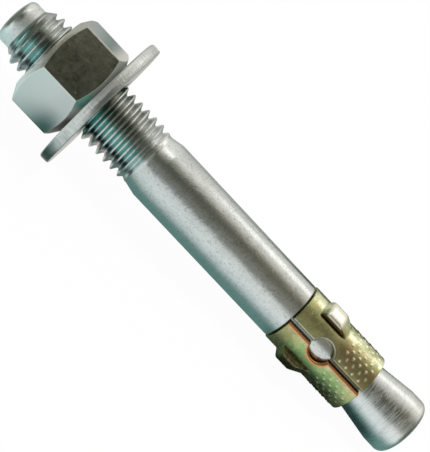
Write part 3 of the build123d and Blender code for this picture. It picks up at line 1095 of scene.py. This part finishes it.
class ANCHOR_OT_clip(bpy.types.Operator):
    """Build the expansion clip: rolled sheet with a slit, a keyhole, lugs and dimples"""

    bl_idname = "anchor.clip"
    bl_label = "Expansion clip"

    def execute(self, context):
        clip = context.scene.anchor_clip
        outside = clip.inner_radius + clip.sheet
        half_round = pi * outside
        hole, gap, place = clip.keyhole / 2, clip.slit_gap / 2, clip.keyhole_from_start
        lug_half = np.arcsin(clip.lug_width / 2 / outside) * outside
        rows, columns = clip_rows(clip), clip_columns(clip, outside, lug_half)

        # The slit's edge moves out to the keyhole's edge, and the columns beside it give way
        along_hole = np.clip(hole**2 - (rows - place) ** 2, 0, None) ** 0.5
        reach = np.maximum(gap, along_hole)

        def columns_at(radius):
            """Places of the columns for one radius, at which the slit and the hole keep their width."""
            edge = np.arcsin(reach / radius) * outside - np.arcsin(gap / outside) * outside
            from_slit = np.minimum(columns, 2 * half_round - columns)
            give = np.clip((4.2 * MM - from_slit) / (3.3 * MM), 0, 1)
            give = np.where(from_slit < 0.9 * MM, 1.0, give)
            way = np.where(columns < half_round, 1, -1)
            return columns[None, :] + edge[:, None] * (give * way)[None, :]

        outer, inner = columns_at(outside) / outside, columns_at(clip.inner_radius) / outside
        along = rows[:, None]

        # Height over the sleeve: lugs and dimples, less the rounding along cuts and ends. The masks for the
        # material are negative where a cut or a lug has painted shade in place of its other look.
        across = outside * np.sin(np.minimum(outer, 2 * pi - outer).clip(0, pi / 2))
        from_cut = np.minimum(across - gap, np.hypot(across, along - place) - hole)
        from_end = np.minimum(along, clip.length - along)
        height, groove_shade = lugs(clip, along, outer, outside, lug_half)
        # Painted highlight on lug tops on the slit's upper side, painted shade on those on its lower side
        lug_shading = np.clip(height / clip.lug_height * 3 - 2, 0, 1) * np.where(outer > pi, 1, -1)
        dimple = dimples(clip, along, outer * outside, half_round)
        # Painted highlights on the dimples' tops: full on the slit's upper side, weaker on its lower side
        dimple_tops_lit = dimple / clip.dimple_height * np.where(outer > pi, 1.0, 0.3)
        height += dimple
        height -= edge_drop(from_cut, clip.cut_edge)
        height -= edge_drop(from_end, clip.end_edge)
        first_side = np.where(columns < half_round, 1.0, -0.8)
        cut = np.clip(1.5 - from_cut / (clip.cut_edge * 1.2), 0, 1) * first_side

        # One closed section for each column: outside from end to end, then inside back again
        turned = clip.turned
        outside_points = about(clip.start + along, outside + height, turned + outer)
        inside_points = about(clip.start + along, clip.inner_radius, turned + inner)
        shell = np.concatenate([outside_points, inside_points[::-1]]).transpose(1, 0, 2)
        plain = np.zeros_like(cut)
        inner_cut = plain.copy()
        inner_cut[:, 0], inner_cut[:, -1] = 1.0, -0.8
        layers = {
            "cut": np.concatenate([cut, inner_cut[::-1]]).T,
            "lug_shading": np.concatenate([lug_shading, plain]).T,
            "groove_shade": np.concatenate([groove_shade, plain]).T,
            "dimple": np.concatenate([dimple_tops_lit, plain]).T,
        }
        walls = end_walls(*shell.shape[:2])
        piece = skin("clip", shell, stud_space(), sharp=40, closed=True, walls=walls, layers=layers)
        finish_piece(piece, clip_material(clip), "clip", "expansion_clip")
        return {"FINISHED"}


# What the metal mirrors of the floor, by the distance in millimetres from under the stud's axis towards +Y:
# pale far away, and the dark blue-green of the stud's own shadow close to it
FLOOR_LEVELS = (
    (-100, (0.90, 0.95, 0.95)),
    (-40, (0.74, 0.81, 0.80)),
    (-24, (0.63, 0.71, 0.69)),
    (-17, (0.37, 0.47, 0.45)),
    (-12, (0.17, 0.29, 0.27)),
    (-7, (0.14, 0.28, 0.26)),
    (3, (0.14, 0.23, 0.21)),
    (10, (0.20, 0.25, 0.21)),
    (22, (0.33, 0.35, 0.31)),
    (45, (0.40, 0.42, 0.40)),
    (100, (0.51, 0.52, 0.49)),
)

# What the metal mirrors of the room, by the angle in degrees about the stud, from straight up towards -Y
ROOM_LEVELS = (
    (-180, (0.60, 0.60, 0.56)),
    (-95, (0.66, 0.65, 0.61)),
    (-70, (0.76, 0.75, 0.69)),
    (-56, (0.81, 0.79, 0.73)),
    (-40, (0.78, 0.765, 0.71)),
    (-27, (0.72, 0.70, 0.64)),
    (-19, (0.54, 0.53, 0.46)),
    (-12, (0.30, 0.29, 0.24)),
    (-4, (0.145, 0.142, 0.11)),
    (4, (0.08, 0.084, 0.065)),
    (14, (0.082, 0.088, 0.07)),
    (24, (0.13, 0.137, 0.112)),
    (36, (0.19, 0.20, 0.175)),
    (48, (0.20, 0.215, 0.20)),
    (54, (0.34, 0.36, 0.35)),
    (59, (0.66, 0.70, 0.69)),
    (66, (0.78, 0.81, 0.78)),
    (90, (0.82, 0.88, 0.87)),
    (180, (0.60, 0.64, 0.65)),
)

# Each lamp: its station, angle, distance, length and width, its level, and whether the metal mirrors it
LAMPS = (
    ("lamp_nut_side", -55, -26, 300, 130, 75, 0.6, True),
    ("lamp_middle", 47, -34, 300, 74, 65, 0.2, True),
    ("lamp_cone_side", 147, -50, 300, 126, 105, 0.6, True),
    ("lamp_overhead", 40, -5, 900, 300, 300, 20.0, False),
)


class ANCHOR_OT_studio(bpy.types.Operator):
    """Build the floor, the lights and the camera"""

    bl_idname = "anchor.studio"
    bl_label = "Studio"

    def execute(self, context):
        scene, studio = context.scene, context.scene.anchor_studio
        scene.view_settings.view_transform = "Standard"
        self.build_floor(scene, studio)
        self.build_world(scene, studio)
        self.build_lamps(scene)
        self.build_camera(scene, studio)
        return {"FINISHED"}

    def build_floor(self, scene, studio):
        """A floor that is white to the camera, pale to the light, and graded to what mirrors it."""
        mesh = bpy.data.meshes.new("floor")
        model = bmesh.new()
        bmesh.ops.create_grid(model, x_segments=8, y_segments=8, size=3.0)
        model.to_mesh(mesh)
        model.free()
        floor = bpy.data.objects.new("floor", mesh)
        scene.collection.objects.link(floor)
        material = bpy.data.materials.new("Pale floor")
        tree = empty_tree(material)
        pale = put(tree, "BsdfPrincipled", {"Base Color": (*studio.floor, 1), "Roughness": 0.9})
        pale.inputs["Specular IOR Level"].default_value = 0.0
        white = put(tree, "Emission", {"Color": (1, 1, 1, 1), "Strength": 1.0})
        shown = put(tree, "Emission", {"Color": self.mirrored_floor(tree, studio), "Strength": 1.0})
        path = put(tree, "LightPath").outputs
        glossy = maths(tree, "MAXIMUM", path["Is Glossy Ray"], path["Is Transmission Ray"])
        reflected = put(tree, "MixShader", {0: glossy, 1: pale.outputs[0], 2: shown.outputs[0]})
        seen = maths(tree, "MULTIPLY", path["Is Camera Ray"], 0.97)
        mixed = put(tree, "MixShader", {0: seen, 1: reflected.outputs[0], 2: white.outputs[0]})
        put(tree, "OutputMaterial", {"Surface": mixed.outputs[0]})
        mesh.materials.append(material)

    def mirrored_floor(self, tree, studio):
        """The colour that the metal mirrors at each place of the floor."""
        parts = put(tree, "SeparateXYZ", {"Vector": put(tree, "TexCoord").outputs["Object"]}).outputs
        x, y = parts["X"], parts["Y"]
        reach = 100
        depth = slope(tree, y, 0.5 / (reach * MM), 0.5, clamp=True)
        stops = [(0.5 + 0.5 * place / reach, level) for place, level in FLOOR_LEVELS]
        mirrored = ramp(tree, depth, stops, "LINEAR")

        # Painted shadows of the clip, the nut and the washer, and painted light on the pale floor behind the
        # washer
        # and at the impact end: each colour has the fades that bound it, in millimetres
        from_washer = maths(tree, "ABSOLUTE", maths(tree, "ADD", x, 28.5 * MM))
        patches = (
            ((0.015, 0.04, 0.035), (x, 18, 25), (x, 48.5, 43.5), (y, -14, -7.5, 0.95)),
            ((0.04, 0.14, 0.125), (x, -43, -33), (x, -30.5, -31.5), (y, -27, -20.5, 0.9)),
            ((0.02, 0.06, 0.05), (from_washer, 9, 5), (y, -26, -14, 0.95, 0.10)),
            ((0.70, 0.68, 0.63), (from_washer, 9, 5), (y, -10, -7.5)),
            ((0.62, 0.77, 0.74), (x, -35, -47), (y, 12, 2, 0.75)),
        )
        for level, *edges in patches:
            masks = [fade(tree, value, start * MM, end * MM, *tops) for value, start, end, *tops in edges]
            mirrored = blend(tree, product(tree, *masks), mirrored, level)
        # Painted darkness on the floor past the stud's ends
        past_end = maths(tree, "SUBTRACT", maths(tree, "ABSOLUTE", x), 55 * MM)
        past_end = slope(tree, maths(tree, "ABSOLUTE", y), -0.8, past_end)
        return blend(tree, fade(tree, past_end, 0.0, 30 * MM), mirrored, studio.flag)

    def build_world(self, scene, studio):
        """A room that is white to the camera, and graded round the stud to all else."""
        world = bpy.data.worlds.new("Studio")
        scene.world = world
        tree = empty_tree(world)
        direction = put(tree, "TexCoord").outputs["Generated"]

        def part(way):
            node = put(tree, "VectorMath", {0: direction, 1: way}, operation="DOT_PRODUCT")
            return node.outputs["Value"]

        # The room's levels lie 0.14 radians further round, except towards the cone
        angle, lengthwise = maths(tree, "ARCTAN2", part((0, -1, 0)), part(UPWARD)), part(ALONG)
        angle = maths(tree, "SUBTRACT", angle, fade(tree, lengthwise, 0.12222, 0.04444, 0.14))
        stops = [(0.5 + degrees / 360, level) for degrees, level in ROOM_LEVELS]
        light = ramp(tree, share_of_turn(tree, angle), stops, "LINEAR")
        light = blend(tree, fade(tree, lengthwise, 0.13, 0.24), light, studio.glow, "ADD")
        # Painted darkness in the room, lengthwise past the stud's ends
        endwise = fade(tree, maths(tree, "ABSOLUTE", lengthwise), 0.62, 0.88)
        light = blend(tree, endwise, light, studio.flag)
        light = blend(tree, put(tree, "LightPath").outputs["Is Camera Ray"], light, (1.0, 1.0, 1.0))
        background = put(tree, "Background", {"Color": light, "Strength": 1.0})
        put(tree, "OutputWorld", {"Surface": background.outputs[0]})

    def build_lamps(self, scene):
        """Area lamps that face the stud's axis."""
        for name, station, angle, distance, length, width, level, mirrored in LAMPS:
            light = bpy.data.lights.new(name, "AREA")
            light.shape = "RECTANGLE"
            light.size, light.size_y = length * MM, width * MM
            light.energy = level * pi * light.size * light.size_y
            lamp = bpy.data.objects.new(name, light)
            outward = UPWARD * cos(radians(angle)) + Vector((0, -1, 0)) * sin(radians(angle))
            lamp.location = stud_space(station * MM).translation + outward * distance * MM
            lamp.rotation_euler = Matrix((ALONG, outward.cross(ALONG), outward)).transposed().to_euler()
            lamp.visible_glossy = mirrored
            scene.collection.objects.link(lamp)

    def build_camera(self, scene, studio):
        """The camera, placed about the stud's axis."""
        outward = UPWARD * cos(studio.around) + Vector((0, -1, 0)) * sin(studio.around)
        back = outward * cos(studio.towards_nut) - ALONG * sin(studio.towards_nut)
        aim = stud_space(studio.aim).translation
        location = aim + back * studio.distance + ALONG.cross(outward) * studio.aim_offset
        level = (-back).cross(Vector((0, 0, 1))).normalized()
        above = level.cross(-back)
        right = level * cos(studio.roll) + above * sin(studio.roll)
        up = above * cos(studio.roll) - level * sin(studio.roll)
        camera = bpy.data.cameras.new("camera")
        camera.lens = studio.lens
        camera.sensor_width = 36
        camera.clip_start = 0.01
        holder = bpy.data.objects.new("camera", camera)
        holder.matrix_world = Matrix.Translation(location) @ Matrix((right, up, back)).transposed().to_4x4()
        scene.collection.objects.link(holder)
        scene.camera = holder


class ANCHOR_PT_panel(bpy.types.Panel):
    """The anchor's pieces and its studio"""

    bl_idname = "ANCHOR_PT_panel"
    bl_label = "Wedge anchor"
    bl_space_type = "VIEW_3D"
    bl_region_type = "UI"
    bl_category = "Anchor"

    def draw(self, context):
        for operator in OPERATORS:
            self.layout.operator(operator.bl_idname)


SETTINGS = {
    "anchor_stud": StudSettings,
    "anchor_nut": NutSettings,
    "anchor_washer": WasherSettings,
    "anchor_clip": ClipSettings,
    "anchor_studio": StudioSettings,
}
OPERATORS = (ANCHOR_OT_stud, ANCHOR_OT_nut, ANCHOR_OT_washer, ANCHOR_OT_clip, ANCHOR_OT_studio)
CLASSES = (*SETTINGS.values(), *OPERATORS, ANCHOR_PT_panel)


def register():
    for cls in CLASSES:
        bpy.utils.register_class(cls)
    for name, settings in SETTINGS.items():
        setattr(bpy.types.Scene, name, PointerProperty(type=settings))


def unregister():
    for name in SETTINGS:
        delattr(bpy.types.Scene, name)
    for cls in reversed(CLASSES):
        bpy.utils.unregister_class(cls)


def main():
    """Builds the anchor and its studio."""
    register()
    bpy.ops.anchor.stud()
    bpy.ops.anchor.nut()
    bpy.ops.anchor.washer()
    bpy.ops.anchor.clip()
    bpy.ops.anchor.studio()


if __name__ == "__main__":
    main()
